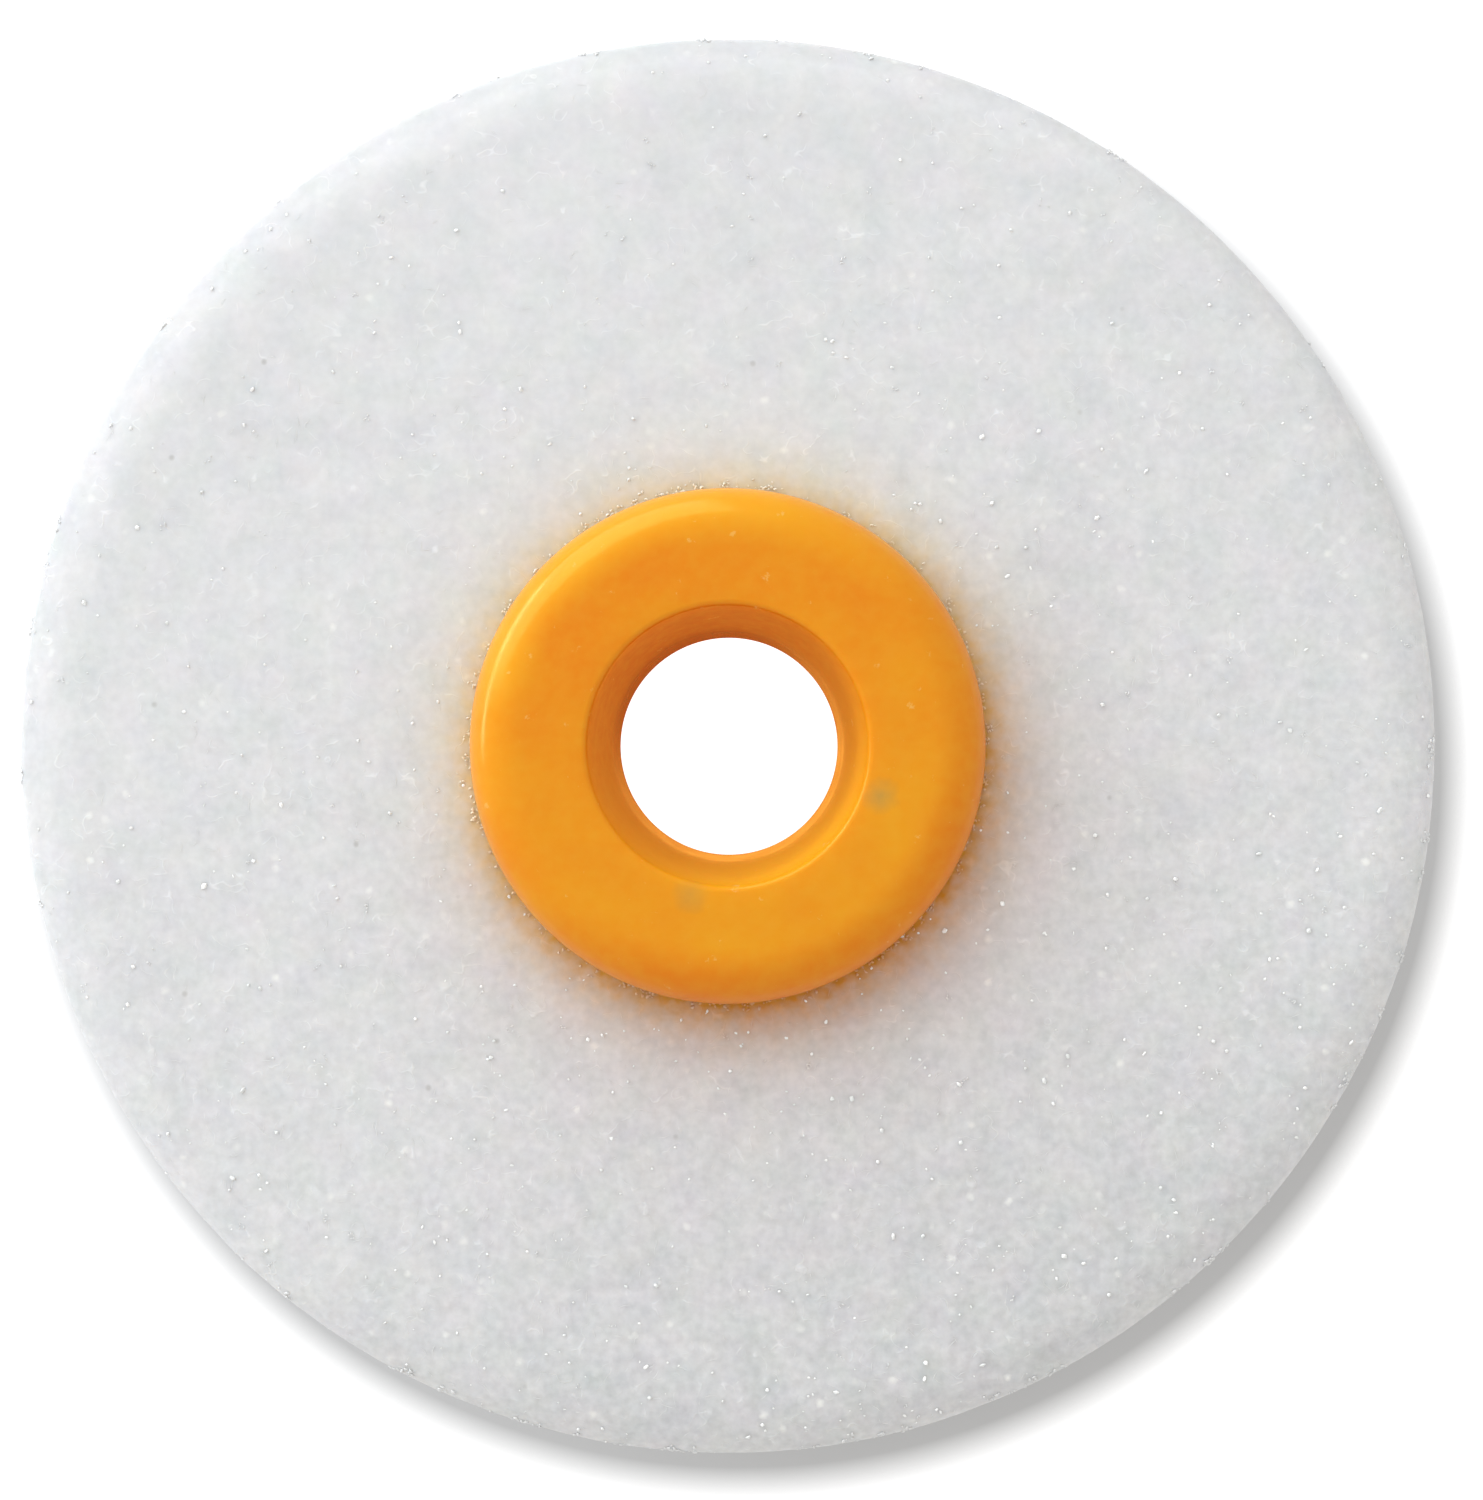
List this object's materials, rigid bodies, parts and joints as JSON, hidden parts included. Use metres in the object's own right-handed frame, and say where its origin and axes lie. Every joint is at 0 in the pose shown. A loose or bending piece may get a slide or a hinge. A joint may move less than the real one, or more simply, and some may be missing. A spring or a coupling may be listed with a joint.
{
  "type": "felt polishing wheel",
  "caption": "Flat round hard felt polishing wheel with eased rims, on a raised round-edged plastic hub with a plain centre bore for a grinder arbor.",
  "frame": {"origin": "middle of the wheel: on the bore's axis, half way through the felt", "axes": "+Z along the bore's axis, out of the front face; the wheel is round, so +X and +Y are any two directions across it"},
  "size_m": [0.0762, 0.0762, 0.019],
  "materials": {
    "felt": "hard-pressed white wool felt, matte, with fine bright mineral grain",
    "hub_plastic": "moulded orange plastic, glossy and slightly translucent"
  },
  "bodies": {
    "root": {"felt_disc": "felt", "front_hub_half": "hub_plastic", "rear_hub_half": "hub_plastic"}
  },
  "joints": []
}
